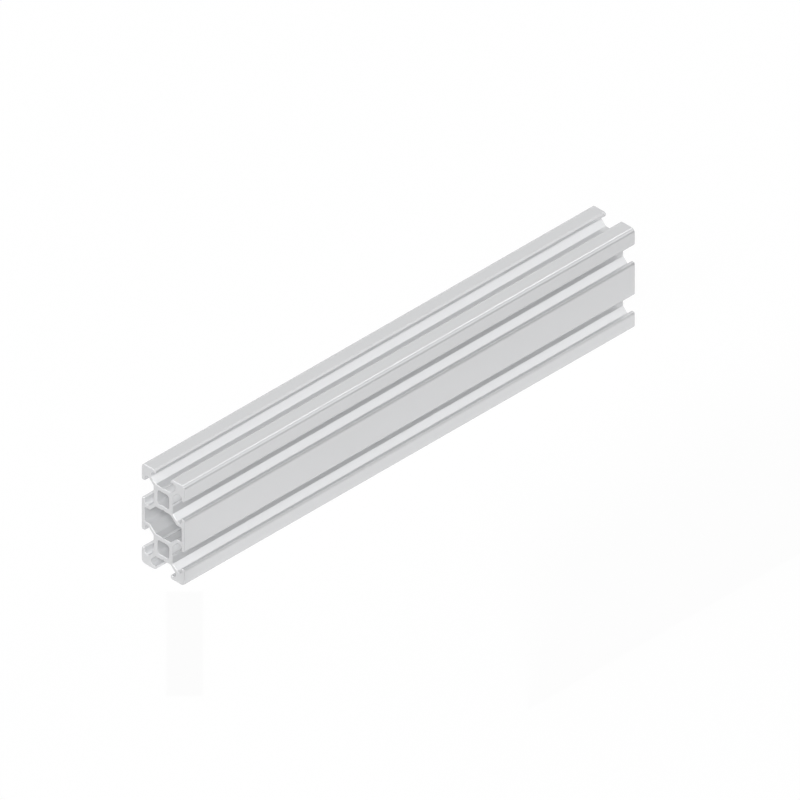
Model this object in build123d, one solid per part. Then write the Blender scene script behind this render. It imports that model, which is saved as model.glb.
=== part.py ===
"""Double-module aluminium T-slot extrusion, one piece of bar stock sawn square at both ends.

The bar lies along X and stands on its narrow side, as it is shown. Y is its width and Z its height.
The origin is the middle of the underside. All lengths are in millimetres.
"""
from build123d import *
import os

# Overall size
MODULE = 40.0  # width of the bar, and the pitch of its two square modules
HEIGHT = 2 * MODULE
LENGTH = 420.0  # sawn length
CORNER_RADIUS = 3.0  # long outer corners

# T-slot, one in the middle of each outer side of a module
SLOT_OPENING = 14.0  # clear gap between the two lips
SLOT_DEPTH = 11.0  # outer face to slot floor
LIP_THICKNESS = 2.8
LIP_BEVEL_WIDTH = 1.5  # shallow bevel beside the opening, along the outer face
LIP_BEVEL_DEPTH = 0.6  # the same bevel, into the lip
UNDERCUT_WIDTH = 23.0  # widest part of the slot, behind the lips
UNDERCUT_RADIUS = 2.4  # both ends of the undercut's end wall, towards the lip and towards the diagonal rib
FLOOR_RADIUS = 0.5  # where a diagonal rib meets a core
EDGE_RADIUS = 0.25  # both edges of a lip's end, and both edges of a V groove

# Core of each module and the diagonal ribs that carry it
RIB_THICKNESS = 2.8
CORE_BORE = 10.8  # square channel, which takes a thread-forming M12 screw in its end
CORE_BORE_RADIUS = 2.0
GROOVE_WIDTH = 2.4  # V groove along the middle of each outer side of a core
GROOVE_DEPTH = 0.8
GROOVE_BOTTOM_RADIUS = 0.25

# Chamber between the two cores
SIDE_WALL = 2.8  # outer walls beside the chamber
WEB_THICKNESS = 2.8  # between the chamber and the slots above and below it
CHAMBER_WALL_RADIUS = 1.2  # corners at the side walls
CHAMBER_RIB_RADIUS = 2.0  # where a web turns into a diagonal rib

# Sawn ends
END_BREAK = 0.8 * EDGE_RADIUS  # deburred edges of both cuts, smaller than the rounded edges they run into

# A slot is cut from this far outside the bar, so that its opening is clean
CUT_MARGIN = 1.0

# Largest radius of an undercut corner, as a share of the wall between two of them
WALL_SHARE_FOR_RADIUS = 0.68

# Distances that follow from the sizes above
HALF = MODULE / 2  # a module's centre to its sides
RIB_FACE = HALF - RIB_THICKNESS / 2 * 2**0.5  # across plus down, on the face of a rib, from a side's middle
FLOOR_HALF_WIDTH = RIB_FACE - SLOT_DEPTH


def rounded_face(corners):
    """Face inside the closed outline of (x, y, radius) corners, each corner rounded by its radius."""
    points = [(x, y) for x, y, _ in corners]
    radii = [radius for _, _, radius in corners]
    return make_face(FilletPolyline(*points, radius=radii, close=True))


def with_mirror_image(right_half):
    """A right half that ends on x = 0, followed by the left half that mirrors it."""
    left_half = [(-x, y, radius) for x, y, radius in reversed(right_half[:-1])]
    return right_half + left_half


def core_side(depth):
    """Right half of a core's outer side, from the foot of the rib to the bottom of the V groove."""
    return [
        (FLOOR_HALF_WIDTH, depth, FLOOR_RADIUS),
        (GROOVE_WIDTH / 2, depth, EDGE_RADIUS),
        (0, depth + GROOVE_DEPTH, GROOVE_BOTTOM_RADIUS),
    ]


def undercut_radius(end_wall):
    """Radius at both ends of the undercut's end wall, limited by the length of that wall.

    The outline turns by 90 degrees at the lip and by 45 at the rib, so the two arcs use up the radius times
    tan(45) + tan(22.5) of the wall. They would meet at a radius of 0.707 of the wall.
    """
    return min(UNDERCUT_RADIUS, WALL_SHARE_FOR_RADIUS * end_wall)


def slot_face():
    """One T-slot, centred on x = 0, with its opening at y = 0 and its floor towards +y."""
    opening = SLOT_OPENING / 2
    undercut = UNDERCUT_WIDTH / 2
    rib_start = RIB_FACE - undercut
    radius = undercut_radius(rib_start - LIP_THICKNESS)
    lip_and_rib = [
        (opening + LIP_BEVEL_WIDTH, -CUT_MARGIN, 0),
        (opening + LIP_BEVEL_WIDTH, 0, 0),
        (opening, LIP_BEVEL_DEPTH, EDGE_RADIUS),
        (opening, LIP_THICKNESS, EDGE_RADIUS),
        (undercut, LIP_THICKNESS, radius),
        (undercut, rib_start, radius),
    ]
    return rounded_face(with_mirror_image(lip_and_rib + core_side(SLOT_DEPTH)))


def chamber_face():
    """The chamber between the two cores, centred on the origin."""
    side = HALF - SIDE_WALL
    web = HALF - UNDERCUT_WIDTH / 2 - WEB_THICKNESS
    wall_and_rib = [
        (side, web, CHAMBER_WALL_RADIUS),
        (RIB_FACE - web, web, CHAMBER_RIB_RADIUS),
    ]
    upper = with_mirror_image(wall_and_rib + core_side(SLOT_DEPTH))
    lower = [(-x, -y, radius) for x, y, radius in upper]
    return rounded_face(upper + lower)


def section():
    """The whole section: width along x, height along y, the middle of the underside at the origin."""
    module_centres = [HALF, HEIGHT - HALF]
    slot = slot_face()
    core_bore = RectangleRounded(CORE_BORE, CORE_BORE, CORE_BORE_RADIUS)
    face = Pos(0, HEIGHT / 2) * RectangleRounded(MODULE, HEIGHT, CORNER_RADIUS)
    face -= slot
    face -= Pos(0, HEIGHT) * Rot(0, 0, 180) * slot
    for centre in module_centres:
        face -= Pos(-HALF, centre) * Rot(0, 0, -90) * slot
        face -= Pos(HALF, centre) * Rot(0, 0, 90) * slot
        face -= Pos(0, centre) * core_bore
    return face - Pos(0, HEIGHT / 2) * chamber_face()


def extruded_profile():
    """The section carried along X, centred, with the edges of both sawn ends broken."""
    across_x = Plane(origin=(0, 0, 0), x_dir=(0, 1, 0), z_dir=(1, 0, 0))
    bar = extrude(across_x * section(), amount=LENGTH / 2, both=True)
    cuts = bar.faces().filter_by(Axis.X)
    end_faces = [cuts.sort_by(Axis.X)[0], cuts.sort_by(Axis.X)[-1]]
    end_edges = [edge for face in end_faces for edge in face.edges()]
    return chamfer(end_edges, END_BREAK)


bar = extruded_profile()
bar.label = "extruded_profile"
os.makedirs("parts", exist_ok=True)
export_step(bar, "parts/extruded_profile.step")
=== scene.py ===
# %% [markdown]
# # A length of T-slot extrusion in Blender
#
# The object is one bar of natural anodised aluminium. Its section is pressed through a die, so it is the same
# from end to end, and both ends are sawn square and deburred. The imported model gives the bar's place and
# overall size. This script dresses it: a finer skin with true arcs, the finish of the metal, a floor, lamps
# and a camera.

from math import cos, pi, radians, sin

import bpy
import numpy as np
from mathutils import Matrix, Vector
from mathutils.geometry import tessellate_polygon


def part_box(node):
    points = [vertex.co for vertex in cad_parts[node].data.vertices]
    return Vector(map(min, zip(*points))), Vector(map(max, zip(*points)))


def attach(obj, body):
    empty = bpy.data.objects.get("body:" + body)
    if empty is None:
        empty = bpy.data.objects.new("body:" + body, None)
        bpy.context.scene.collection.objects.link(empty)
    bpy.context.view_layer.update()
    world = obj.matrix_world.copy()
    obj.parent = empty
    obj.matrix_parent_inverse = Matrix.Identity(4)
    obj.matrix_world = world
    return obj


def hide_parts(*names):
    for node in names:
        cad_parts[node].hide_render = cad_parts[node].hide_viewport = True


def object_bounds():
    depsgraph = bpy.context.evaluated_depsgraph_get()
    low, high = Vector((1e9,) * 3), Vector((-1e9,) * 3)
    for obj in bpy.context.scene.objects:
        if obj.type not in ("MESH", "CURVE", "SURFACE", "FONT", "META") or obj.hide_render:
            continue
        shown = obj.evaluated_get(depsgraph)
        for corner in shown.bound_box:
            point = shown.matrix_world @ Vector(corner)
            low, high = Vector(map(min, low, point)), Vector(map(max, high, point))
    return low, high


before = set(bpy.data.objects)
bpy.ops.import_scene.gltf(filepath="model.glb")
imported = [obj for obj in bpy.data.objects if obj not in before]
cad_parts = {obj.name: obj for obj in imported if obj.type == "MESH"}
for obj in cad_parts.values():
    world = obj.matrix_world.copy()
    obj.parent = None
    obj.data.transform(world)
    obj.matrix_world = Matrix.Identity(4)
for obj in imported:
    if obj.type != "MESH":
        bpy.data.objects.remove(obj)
cad_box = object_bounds()
print("CAD box in metres:", [[round(number, 4) for number in corner] for corner in cad_box])

# %% [markdown]
# ## The camera
#
# The long edges of the bar stay parallel in the picture and do not shrink with distance, so the view is
# orthographic. Two angles set its direction. The aim point is the middle of the bar, moved a little across
# the picture so that the bar sits where it should in the frame.

# %% Camera
VIEW_AZIMUTH = radians(-45)
VIEW_ELEVATION = radians(35)
VIEW_WIDTH = 0.5274  # metres across the picture
AIM_RIGHT = 0.0077  # the aim point, from the middle of the bar, across the picture
AIM_UP = -0.0030
CAMERA_DISTANCE = 2.0


def view_axes(azimuth, elevation):
    """Right, up and backward directions of a camera: azimuth turns it about Z, elevation lifts it."""
    right = Vector((cos(azimuth), sin(azimuth), 0))
    back = Vector((sin(azimuth) * cos(elevation), -cos(azimuth) * cos(elevation), sin(elevation)))
    return right, back.cross(right), back


def add_camera():
    """Orthographic camera on the line from the aim point backward along the view."""
    lens = bpy.data.cameras.new("camera")
    lens.type = "ORTHO"
    lens.ortho_scale = VIEW_WIDTH
    camera = bpy.data.objects.new("camera", lens)
    right, up, back = view_axes(VIEW_AZIMUTH, VIEW_ELEVATION)
    middle = (Vector(cad_box[0]) + Vector(cad_box[1])) / 2
    place = middle + right * AIM_RIGHT + up * AIM_UP + back * CAMERA_DISTANCE
    camera.matrix_world = Matrix.Translation(place) @ Matrix((right, up, back)).transposed().to_4x4()
    bpy.context.scene.collection.objects.link(camera)
    bpy.context.scene.camera = camera
    return camera


camera = add_camera()
print("camera at", [round(number, 3) for number in camera.matrix_world.translation])

# %% [markdown]
# ## The section
#
# A die is drawn as straight runs joined by small arcs, because sharp corners tear the metal and wear the
# steel. So the section is written the same way: a list of corners, each with its radius. One function turns
# such a list into points and outward normals. The normals are worked out with the arcs, so the flats shade
# perfectly flat and the arcs perfectly round, however few points they have.

# %% Sizes of the section
MM = 0.001
low, high = (Vector(corner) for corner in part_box("extruded_profile"))
LENGTH = high.x - low.x
MODULE = high.y - low.y
HEIGHT = high.z - low.z

CORNER_RADIUS = 3.0 * MM
SLOT_OPENING = 14.0 * MM
SLOT_DEPTH = 11.0 * MM
LIP_THICKNESS = 2.8 * MM
LIP_BEVEL_WIDTH = 1.5 * MM
LIP_BEVEL_DEPTH = 0.6 * MM
EDGE_RADIUS = 0.25 * MM  # both borders of a lip's bevel, both edges of its end, and both of a V groove
UNDERCUT_WIDTH = 23.0 * MM
UNDERCUT_RADIUS = 2.4 * MM
FLOOR_RADIUS = 0.5 * MM
RIB_THICKNESS = 2.8 * MM
CORE_BORE = 10.8 * MM
CORE_BORE_RADIUS = 2.0 * MM
GROOVE_WIDTH = 2.4 * MM
GROOVE_DEPTH = 0.8 * MM
GROOVE_BOTTOM_RADIUS = 0.25 * MM
SIDE_WALL = 2.8 * MM
WEB_THICKNESS = 2.8 * MM
CHAMBER_WALL_RADIUS = 1.2 * MM
CHAMBER_RIB_RADIUS = 2.0 * MM

HALF = MODULE / 2
RIB_FACE = HALF - RIB_THICKNESS / 2 * 2**0.5  # across plus down, on the face of a rib, from a side's middle
ARC_STEPS = 8  # straight steps that draw one arc
print(f"bar {LENGTH / MM:.1f} long, section {MODULE / MM:.1f} x {HEIGHT / MM:.1f} mm")


# %% Corners to arcs
def unit(vectors):
    """The vectors, each divided by its own length."""
    return vectors / np.linalg.norm(vectors, axis=-1, keepdims=True)


def rounded_loop(corners):
    """Points and outward normals of a closed outline whose metal is on the left of its travel.

    Each corner becomes an arc that touches both of its sides. The arc's centre lies on the bisector of the
    corner, at the radius divided by the sine of half the corner's angle. A point of the arc is the centre
    plus the radius times a direction that turns evenly from one touching point to the other. The normal is
    that direction on an outer corner, and its opposite on an inner one.
    """
    corners = np.array(corners)
    point = corners[:, :2]
    radius = corners[:, 2:]
    to_last = unit(np.roll(point, 1, axis=0) - point)
    to_next = unit(np.roll(point, -1, axis=0) - point)
    half_angle = np.arccos(np.sum(to_last * to_next, axis=1, keepdims=True)) / 2
    centre = point + unit(to_last + to_next) * radius / np.sin(half_angle)
    first = unit(point + to_last * radius / np.tan(half_angle) - centre)
    turn = np.sign(to_next[:, 0] * to_last[:, 1] - to_next[:, 1] * to_last[:, 0])[:, None]
    start = np.arctan2(first[:, 1:], first[:, :1])
    angle = start + turn * (pi - 2 * half_angle) * np.linspace(0, 1, ARC_STEPS + 1)
    direction = np.stack([np.cos(angle), np.sin(angle)], axis=-1)
    points = centre[:, None] + radius[:, None] * direction
    normals = direction * turn[:, None]
    return points.reshape(-1, 2), normals.reshape(-1, 2)


print("points on each arc:", ARC_STEPS + 1)

# %% [markdown]
# Each slot is the same shape, so its corners are written once and turned into place six times. The two cores
# share their outer side with the slots and the chamber, V groove included, which is why that side has a
# function of its own.

# %% Corners of the slots, the chamber and the core channels
def with_mirror_image(right_half):
    """A right half that ends on x = 0, followed by the left half that mirrors it."""
    return right_half + [(-x, y, radius) for x, y, radius in reversed(right_half[:-1])]


def core_side(depth):
    """Right half of a core's outer side, from the foot of the rib to the bottom of the V groove."""
    return [
        (RIB_FACE - SLOT_DEPTH, depth, FLOOR_RADIUS),
        (GROOVE_WIDTH / 2, depth, EDGE_RADIUS),
        (0, depth + GROOVE_DEPTH, GROOVE_BOTTOM_RADIUS),
    ]


def slot_corners():
    """One T-slot, centred on x = 0, with its opening at y = 0 and its floor towards +y."""
    opening = SLOT_OPENING / 2
    undercut = UNDERCUT_WIDTH / 2
    lip_and_rib = [
        (opening + LIP_BEVEL_WIDTH, 0, EDGE_RADIUS),
        (opening, LIP_BEVEL_DEPTH, EDGE_RADIUS),
        (opening, LIP_THICKNESS, EDGE_RADIUS),
        (undercut, LIP_THICKNESS, UNDERCUT_RADIUS),
        (undercut, RIB_FACE - undercut, UNDERCUT_RADIUS),
    ]
    return with_mirror_image(lip_and_rib + core_side(SLOT_DEPTH))


def chamber_corners():
    """The chamber between the two cores, centred on the origin."""
    side = HALF - SIDE_WALL
    web = HALF - UNDERCUT_WIDTH / 2 - WEB_THICKNESS
    wall_and_rib = [(side, web, CHAMBER_WALL_RADIUS), (RIB_FACE - web, web, CHAMBER_RIB_RADIUS)]
    upper = with_mirror_image(wall_and_rib + core_side(SLOT_DEPTH))
    return upper + [(-x, -y, radius) for x, y, radius in upper]


def square_corners(width, radius):
    """A square of that width about the origin."""
    half = width / 2
    return [(half, half, radius), (-half, half, radius), (-half, -half, radius), (half, -half, radius)]


def placed(corners, across, up, turn=0.0):
    """The corners turned about the origin, then moved to (across, up)."""
    return [
        (across + x * cos(turn) - y * sin(turn), up + x * sin(turn) + y * cos(turn), radius)
        for x, y, radius in corners
    ]


print("corners of a slot:", len(slot_corners()), "and of the chamber:", len(chamber_corners()))

# %% [markdown]
# The outer outline goes once round the bar, anticlockwise as seen from +X, with the metal on its left. The
# holes go round clockwise for the same reason: one rule for the normals then serves them all.

# %% All outlines of the section
def outer_corners():
    """The outside of the bar: four rounded corners and the six slots, from the underside's left corner."""
    slot = slot_corners()
    lower, upper = HALF, HEIGHT - HALF
    outline = [(-HALF, 0, CORNER_RADIUS)]
    outline += reversed(placed(slot, 0, 0))
    outline += [(HALF, 0, CORNER_RADIUS)]
    for module in (lower, upper):
        outline += reversed(placed(slot, HALF, module, pi / 2))
    outline += [(HALF, HEIGHT, CORNER_RADIUS)]
    outline += reversed(placed(slot, 0, HEIGHT, pi))
    outline += [(-HALF, HEIGHT, CORNER_RADIUS)]
    for module in (upper, lower):
        outline += reversed(placed(slot, -HALF, module, -pi / 2))
    return outline


def section_loops():
    """Points and normals of the outer outline and of the three holes."""
    bore = square_corners(CORE_BORE, CORE_BORE_RADIUS)
    holes = [placed(bore, 0, HALF), placed(bore, 0, HEIGHT - HALF), placed(chamber_corners(), 0, HEIGHT / 2)]
    return [rounded_loop(outer_corners())] + [rounded_loop(hole[::-1]) for hole in holes]


loops = section_loops()
print("points in each outline:", [len(points) for points, _ in loops])

# %% [markdown]
# ## The bar
#
# The bar could be a curve with a bevel, or an extruded face with a Bevel modifier. Here each outline is
# carried along X as a grid instead: one parameter goes round the outline and the other along the bar. The
# first and the last row are drawn a little into the metal, which leaves a narrow slope where the sawn edge
# was broken.

# %% Carry an outline along the bar
END_BREAK = 0.8 * EDGE_RADIUS  # width of the slope, along the bar and into the metal
SLOPE_TILT = radians(45)  # the slope is as wide along the bar as into the metal
BODY_ROWS = 12  # rows between the two slopes


def row_places():
    """Place along X and inset of each row of the grid, and the skin's tilt in each strip between two rows."""
    body = np.linspace(-LENGTH / 2 + END_BREAK, LENGTH / 2 - END_BREAK, BODY_ROWS)
    along = np.concatenate([[-LENGTH / 2], body, [LENGTH / 2]])
    inset = np.zeros(len(along))
    inset[[0, -1]] = END_BREAK
    tilt = np.zeros(len(along) - 1)
    tilt[[0, -1]] = -SLOPE_TILT, SLOPE_TILT
    return along, inset, tilt


def swept(points, normals):
    """Vertices of one outline carried along X, its quads, and the skin's normal at each corner of each quad.

    A vertex is the outline's point, drawn back along its normal by the row's inset, at the row's place along
    X. A quad joins two neighbouring rows and two neighbouring columns, and the last column joins the first.
    The normal at a corner is the outline's normal times the cosine of the strip's tilt, plus X times its
    sine.
    """
    along, inset, tilt = row_places()
    flat = points - normals * inset[:, None, None]
    place = np.broadcast_to(along[:, None, None], flat.shape[:2] + (1,))
    vertices = np.concatenate([place, flat], axis=2)

    columns = len(points)
    row, column = np.meshgrid(np.arange(len(tilt)), np.arange(columns), indexing="ij")
    beside = (column + 1) % columns
    quads = np.stack([row * columns + column, row * columns + beside,
                      (row + 1) * columns + beside, (row + 1) * columns + column], axis=-1)

    outward = normals[np.stack([column, beside, beside, column], axis=-1)]
    tilt = tilt[:, None, None, None]
    along_x = np.broadcast_to(np.sin(tilt), outward.shape[:3] + (1,))
    directions = np.concatenate([along_x, outward * np.cos(tilt)], axis=-1)
    return vertices.reshape(-1, 3), quads.reshape(-1, 4), directions.reshape(-1, 3)


places, _, _ = row_places()
print("rows along the bar, in mm:", [round(place / MM, 1) for place in places])

# %% [markdown]
# The sawn faces are flat regions with holes, so they are filled with triangles between the last rows. They
# share those rows' vertices, which keeps the bar one closed skin.

# %% Fill the sawn faces
def filled(vertices, rings, side):
    """Triangles between an outer ring and the rings of its holes, as vertex numbers.

    Side is 1 at +X and -1 at -X. A triangle faces +X where its first edge, crossed with its second, points
    along +X. Those that face the wrong way are turned over.
    """
    numbers = np.concatenate(rings)
    outlines = [vertices[ring].tolist() for ring in rings]
    triangles = numbers[np.array(tessellate_polygon(outlines))]
    corner = vertices[triangles]
    facing = np.cross(corner[:, 1] - corner[:, 0], corner[:, 2] - corner[:, 0])[:, 0]
    wrong = facing * side < 0
    triangles[wrong] = triangles[wrong][:, ::-1]
    return triangles, np.tile([side, 0.0, 0.0], (triangles.size, 1))


# %% [markdown]
# Smooth shading blends the normals of neighbouring faces wherever their edge is not marked sharp. On the
# round edges along the bar that is what the eye expects. At an end the skin turns twice within a fifth of a
# millimetre, from the side to the slope and on to the sawn face, so both borders of the slope are marked.
# That keeps the slope's own narrow glint, the bright line round a clean saw cut.

# %% Mark the creases
CREASE_ZONE = 1.5 * END_BREAK  # from the end, far enough in to take both borders of the slope


def mark_creases(mesh, vertices):
    """Mark each edge sharp that runs across the bar, within the crease zone of either end."""
    ends = np.empty(2 * len(mesh.edges), dtype=np.int32)
    mesh.edges.foreach_get("vertices", ends)
    along = vertices[ends.reshape(-1, 2), 0]
    crease = (along[:, 0] == along[:, 1]) & (abs(along[:, 0]) > LENGTH / 2 - CREASE_ZONE)
    mesh.edges.foreach_set("use_edge_sharp", crease)
    print("sharp edges:", np.count_nonzero(crease))


# %% [markdown]
# Now the grids and the two sawn faces go into one mesh. The normals worked out with the arcs are given to it
# last, one for each corner of each face.

# %% The bar's mesh
def bar_mesh():
    """One closed mesh: a grid for each outline of the section, and the two sawn faces."""
    vertices, faces, directions, near_rings, far_rings = [], [], [], [], []
    first = 0
    for points, normals in loops:
        grid, quads, outward = swept(points, normals)
        vertices.append(grid)
        faces.append(quads + first)
        directions.append(outward)
        near_rings.append(first + np.arange(len(points)))
        first += len(grid)
        far_rings.append(first - len(points) + np.arange(len(points)))
    vertices = np.concatenate(vertices)
    for rings, side in ((near_rings, -1), (far_rings, 1)):
        triangles, outward = filled(vertices, rings, side)
        faces.append(triangles)
        directions.append(outward)
    mesh = bpy.data.meshes.new("extruded_bar")
    mesh.from_pydata(vertices.tolist(), [], [face for group in faces for face in group.tolist()])
    mesh.shade_smooth()
    mark_creases(mesh, vertices)
    mesh.normals_split_custom_set(np.concatenate(directions).tolist())
    return mesh


bar = bpy.data.objects.new("extruded_bar", bar_mesh())
bpy.context.scene.collection.objects.link(bar)
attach(bar, "root")
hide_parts("extruded_profile")
print("bar:", len(bar.data.vertices), "vertices,", len(bar.data.polygons), "faces")

# %% [markdown]
# ## The finish
#
# Natural anodising etches the metal to an even satin grey and grows a clear, hard skin on it. What shows up
# close is the die's work, faint straight lines along the bar, and on the ends the saw's, faint wide arcs.
# Both are far too fine for geometry, so they are patterns on Object coordinates that move the roughness and a
# very shallow bump. Shader maths is easier to read as Python, so a small class turns sums into nodes.

# %% Shader sums as Python
class Value:
    """A socket of a material, with Python's sums on it. Each sum adds one Math node and gives its result."""

    def __init__(self, tree, socket):
        self.tree = tree
        self.socket = socket

    def math(self, operation, *others):
        sockets = dict(enumerate((self, *others)))
        return add_node(self.tree, "ShaderNodeMath", {"operation": operation}, sockets)["Value"]

    def __add__(self, other):
        return self.math("ADD", other)

    def __sub__(self, other):
        return self.math("SUBTRACT", other)

    def __rsub__(self, other):
        return add_node(self.tree, "ShaderNodeMath", {"operation": "SUBTRACT"}, {0: other, 1: self})["Value"]

    def __mul__(self, other):
        return self.math("MULTIPLY", other)

    __radd__ = __add__
    __rmul__ = __mul__


def add_node(tree, kind, settings, sockets):
    """A new node of that kind: its settings come first, then the values or links of its input sockets.

    It returns the node's outputs by name, each as a Value.
    """
    node = tree.nodes.new(kind)
    for name, setting in settings.items():
        setattr(node, name, setting)
    for name, given in sockets.items():
        if isinstance(given, Value):
            tree.links.new(given.socket, node.inputs[name])
        else:
            node.inputs[name].default_value = given
    return {output.name: Value(tree, output) for output in node.outputs if output.enabled}


def new_material(name):
    """An empty node tree for a new material."""
    material = bpy.data.materials.new(name)
    material.use_nodes = True
    material.node_tree.nodes.clear()
    return material, material.node_tree


# %% [markdown]
# The die lines are noise that has been stretched along the bar: its coordinates are multiplied by a large
# number across the bar and a tiny one along it. The saw marks are noise of the distance from the blade's
# centre, which lies beside and below the bar. A mask that is 1 on the last tenth of a millimetre switches
# between them.

# %% Anodised aluminium
SKIN_COLOUR = (0.77, 0.775, 0.785, 1.0)
SKIN_ROUGHNESS = 0.2
SKIN_METALLIC = 0.28
DIE_LINE_SCALE = (4.0, 1400.0, 1400.0)  # per metre, along, across and up
SAW_CENTRE = (0.17, -0.11)  # metres, across and up
SAW_MARK_SCALE = 1100.0  # per metre of distance from the blade's centre
END_ZONE = 0.1 * MM  # from the end, where the saw marks take over from the die lines
ROUGHNESS_SWING = 0.1  # how much the lines and marks change the roughness
MARK_DEPTH = 0.02 * MM
MARK_STRENGTH = 0.25  # share of that depth that the shading uses
WHITE = (1.0, 1.0, 1.0, 1.0)


def anodised_material():
    """Satin metal with die lines along its length and saw marks on its two cut faces."""
    material, tree = new_material("anodised_aluminium")
    place = add_node(tree, "ShaderNodeTexCoord", {}, {})["Object"]
    axes = add_node(tree, "ShaderNodeSeparateXYZ", {}, {"Vector": place})
    on_end = axes["X"].math("ABSOLUTE").math("GREATER_THAN", LENGTH / 2 - END_ZONE)

    stretched = add_node(tree, "ShaderNodeVectorMath", {"operation": "MULTIPLY"},
                         {0: place, 1: DIE_LINE_SCALE})
    lines = add_node(tree, "ShaderNodeTexNoise", {},
                     {"Vector": stretched["Vector"], "Scale": 1.0, "Detail": 3.0})
    across = axes["Y"] - SAW_CENTRE[0]
    up = axes["Z"] - SAW_CENTRE[1]
    distance = (across * across + up * up).math("SQRT")
    marks = add_node(tree, "ShaderNodeTexNoise", {"noise_dimensions": "1D"},
                     {"W": distance * SAW_MARK_SCALE, "Scale": 1.0, "Detail": 2.0})
    height = on_end * marks["Fac"] + (1 - on_end) * lines["Fac"]
    roughness = SKIN_ROUGHNESS + (height - 0.5) * ROUGHNESS_SWING
    bump = add_node(tree, "ShaderNodeBump", {},
                    {"Height": height, "Strength": MARK_STRENGTH, "Distance": MARK_DEPTH})
    shade = add_node(tree, "ShaderNodeBsdfPrincipled", {}, {
        "Base Color": SKIN_COLOUR, "Metallic": SKIN_METALLIC,
        "Roughness": roughness, "Normal": bump["Normal"],
    })
    add_node(tree, "ShaderNodeOutputMaterial", {}, {"Surface": shade["BSDF"]})
    return material


bar.data.materials.append(anodised_material())
print("materials on the bar:", [material.name for material in bar.data.materials])

# %% [markdown]
# ## Floor, lamps and world
#
# The floor is a pale matt sheet that catches the bar's shadow. For rays that come from the camera or from a
# reflection it is partly a plain white glow, so that the ground reads as white without more light on the
# metal.

# %% Floor
FLOOR_SIZE = 8.0
FLOOR_COLOUR = (0.8, 0.8, 0.8, 1.0)
FLOOR_GLOW = 0.95  # share of the floor that is plain white to the camera and to reflections
GLOW_STRENGTH = 1.02  # a little over white, because the matt share is darker


def seen_directly(tree):
    """1 for a ray from the camera, a reflection or clear glass, and 0 for one that gathers light."""
    path = add_node(tree, "ShaderNodeLightPath", {}, {})
    return (path["Is Camera Ray"] + path["Is Glossy Ray"] + path["Is Transmission Ray"]).math("MINIMUM", 1.0)


def floor_material():
    """Matt white, mixed with a white glow for camera, glossy and transmission rays."""
    material, tree = new_material("floor")
    seen = seen_directly(tree)
    matt = add_node(tree, "ShaderNodeBsdfDiffuse", {}, {"Color": FLOOR_COLOUR})["BSDF"]
    glow = add_node(tree, "ShaderNodeEmission", {}, {"Color": WHITE, "Strength": GLOW_STRENGTH})["Emission"]
    mixed = add_node(tree, "ShaderNodeMixShader", {}, {0: seen * FLOOR_GLOW, 1: matt, 2: glow})["Shader"]
    add_node(tree, "ShaderNodeOutputMaterial", {}, {"Surface": mixed})
    return material


def add_floor():
    """A flat square just under the bar."""
    half = FLOOR_SIZE / 2
    corners = [(-half, -half, low.z), (half, -half, low.z), (half, half, low.z), (-half, half, low.z)]
    mesh = bpy.data.meshes.new("floor")
    mesh.from_pydata(corners, [], [(0, 1, 2, 3)])
    mesh.materials.append(floor_material())
    floor = bpy.data.objects.new("floor", mesh)
    bpy.context.scene.collection.objects.link(floor)


add_floor()
print("floor:", FLOOR_SIZE, "m wide")

# %% [markdown]
# Polished things are lit with dark cards beside them, out of the picture. They give the edges that face them
# a thin dark line, and that line is what makes them look like metal. The low card stands on the floor along
# the bar's near side, where the camera's view, mirrored in the lower part of the long round edge, would meet
# the horizon. The high card hangs where the middle of that edge mirrors it. The corner card lies on the floor
# before the near corner, whose broken edge mirrors it from top to bottom.

# %% Dark cards
CARD_COLOUR = (0.08, 0.08, 0.08, 1.0)
CARDS = {  # middle, half the length and half the width, all in metres
    "low_card": ((0.19, -0.28, 0.085), (0.34, 0, 0), (0, 0, 0.085)),
    "high_card": ((0.695, -0.378, 0.902), (0.6, 0, 0), (0, 0.085, 0.036)),
    "corner_card": ((-0.2567, -0.0667, 0.0005), (0.0424, 0.0424, 0), (-0.0085, 0.0085, 0)),
}


def add_cards():
    """Dark sheets that lamps and reflections meet, but the camera does not."""
    material, tree = new_material("dark_card")
    matt = add_node(tree, "ShaderNodeBsdfDiffuse", {}, {"Color": CARD_COLOUR})["BSDF"]
    add_node(tree, "ShaderNodeOutputMaterial", {}, {"Surface": matt})
    for name, (middle, along, across) in CARDS.items():
        signs = ((-1, -1), (1, -1), (1, 1), (-1, 1))
        corners = [Vector(middle) + a * Vector(along) + b * Vector(across) for a, b in signs]
        mesh = bpy.data.meshes.new(name)
        mesh.from_pydata(corners, [], [(0, 1, 2, 3)])
        mesh.materials.append(material)
        card = bpy.data.objects.new(name, mesh)
        card.visible_camera = False
        bpy.context.scene.collection.objects.link(card)


add_cards()
print("cards:", list(CARDS))

# %% [markdown]
# The world gives a dim, even white from all round, so that no shadow goes black. To the camera and to
# reflections it is full white instead, like the ground, so that the metal mirrors a bright studio.

# %% World
WORLD_STRENGTH = 0.12


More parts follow.
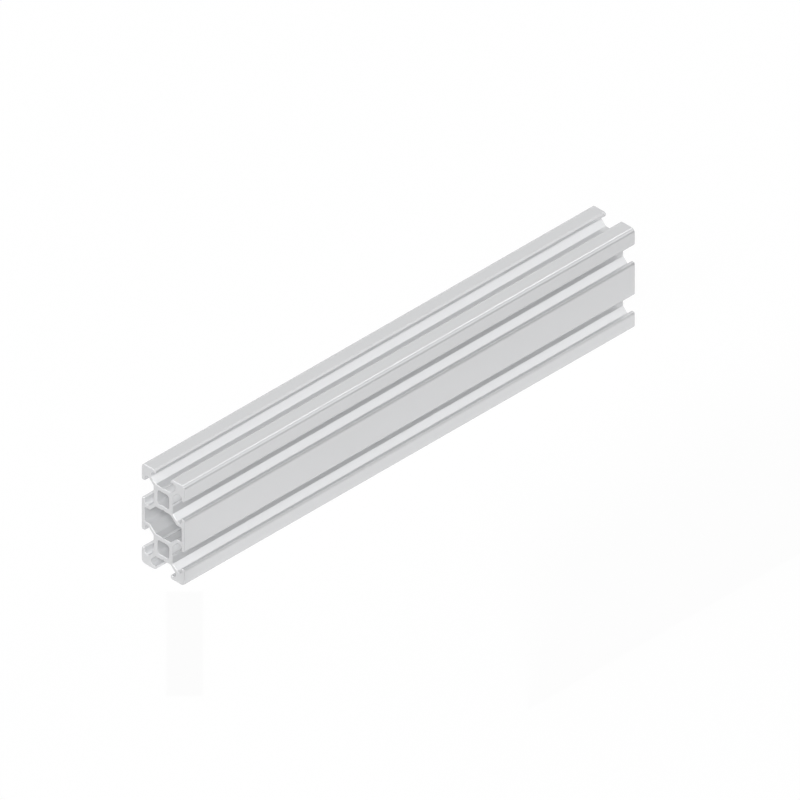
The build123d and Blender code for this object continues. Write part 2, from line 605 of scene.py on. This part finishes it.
def add_world():
    """Even white light from all round, and plain white to the camera and to reflections."""
    world = bpy.data.worlds.new("world")
    world.use_nodes = True
    tree = world.node_tree
    tree.nodes.clear()
    seen = seen_directly(tree)
    strength = seen + (1 - seen) * WORLD_STRENGTH
    sky = add_node(tree, "ShaderNodeBackground", {}, {"Color": WHITE, "Strength": strength})
    add_node(tree, "ShaderNodeOutputWorld", {}, {"Surface": sky["Background"]})
    bpy.context.scene.world = world


add_world()
print("world light:", WORLD_STRENGTH)

# %% [markdown]
# The soft lamps are distant, so their light is as strong at one end of the bar as at the other. With the
# world's, it gives a face about the colour that its finish is written with. Reflections leave these lamps
# out, so no face flares when the bar is seen from another side. The fill lamp casts no shadow, which keeps
# the closed chambers readable. The glints are the opposite, faint and only mirrored. Each stands where one
# kind of edge mirrors the camera's view: the long round edge, the upper edges of the sawn face, and the edges
# of the ribs.

# %% Lamps
SOFT_LAMPS = {  # direction from the bar, strength, and width as an angle in degrees
    "front_lamp": ((-0.557, -0.557, 0.616), 1.53, 20.0),
    "end_lamp": ((-0.788, 0.0, 0.616), 0.50, 20.0),
    "fill_lamp": ((0.0, -0.788, 0.616), 0.66, 20.0),
    "back_lamp": ((0.087, 0.991, 0.105), 1.2, 20.0),
    "far_lamp": ((0.991, 0.087, 0.105), 1.2, 20.0),
}
GLINTS = {
    "right_glint": ((0.579, -0.573, 0.578), 0.028, 16.0),
    "top_glint": ((0.579, 0.214, 0.787), 0.07, 8.0),
    "left_glint": ((-0.573, 0.579, 0.578), 0.09, 10.0),
    "rib_glint": ((-0.815, -0.407, 0.412), 0.11, 10.0),
}


def add_lamp(name, direction, strength, width):
    """Distant soft lamp in that direction from the bar. A wide angle softens shadow and reflection."""
    light = bpy.data.lights.new(name, "SUN")
    light.energy = strength
    light.angle = radians(width)
    lamp = bpy.data.objects.new(name, light)
    lamp.rotation_euler = Vector(direction).to_track_quat("Z", "Y").to_euler()
    bpy.context.scene.collection.objects.link(lamp)
    return lamp


for name, (direction, strength, width) in SOFT_LAMPS.items():
    add_lamp(name, direction, strength, width).visible_glossy = False
for name, (direction, strength, width) in GLINTS.items():
    add_lamp(name, direction, strength, width).visible_diffuse = False
bpy.data.lights["fill_lamp"].use_shadow = False
bpy.context.scene.view_settings.view_transform = "Standard"
print("lamps:", list(SOFT_LAMPS), "and", list(GLINTS))
